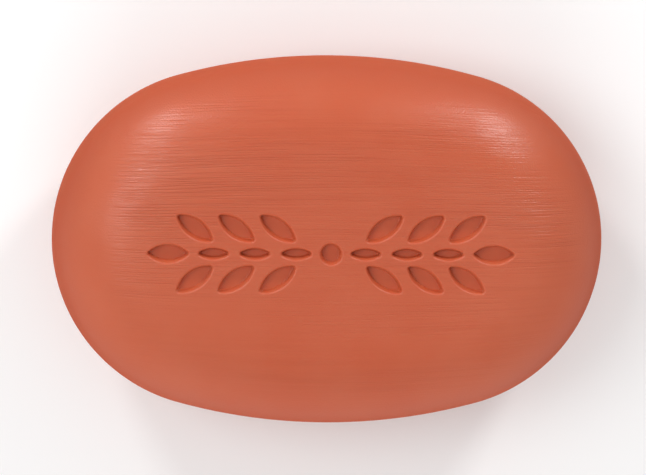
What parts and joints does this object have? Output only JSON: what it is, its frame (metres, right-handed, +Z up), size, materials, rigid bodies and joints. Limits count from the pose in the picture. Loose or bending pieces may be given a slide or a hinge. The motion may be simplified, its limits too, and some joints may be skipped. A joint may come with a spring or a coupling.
{
  "type": "bar of soap",
  "caption": "Oval pressed bar of soap with a drafted side band, round shoulders and flat faces, and a leaf sprig pressed into its front, for washing hands and body.",
  "frame": {"origin": "on the plane the bar rests on, below the middle of the bar", "axes": "+X along the bar, +Y across it towards the sprig's upper side, +Z up out of the pressed face"},
  "size_m": [0.092, 0.0618, 0.03],
  "materials": {
    "soap": "waxy satin terracotta, with fine streaks along the bar"
  },
  "bodies": {
    "root": {"soap_bar": "soap"}
  },
  "joints": []
}
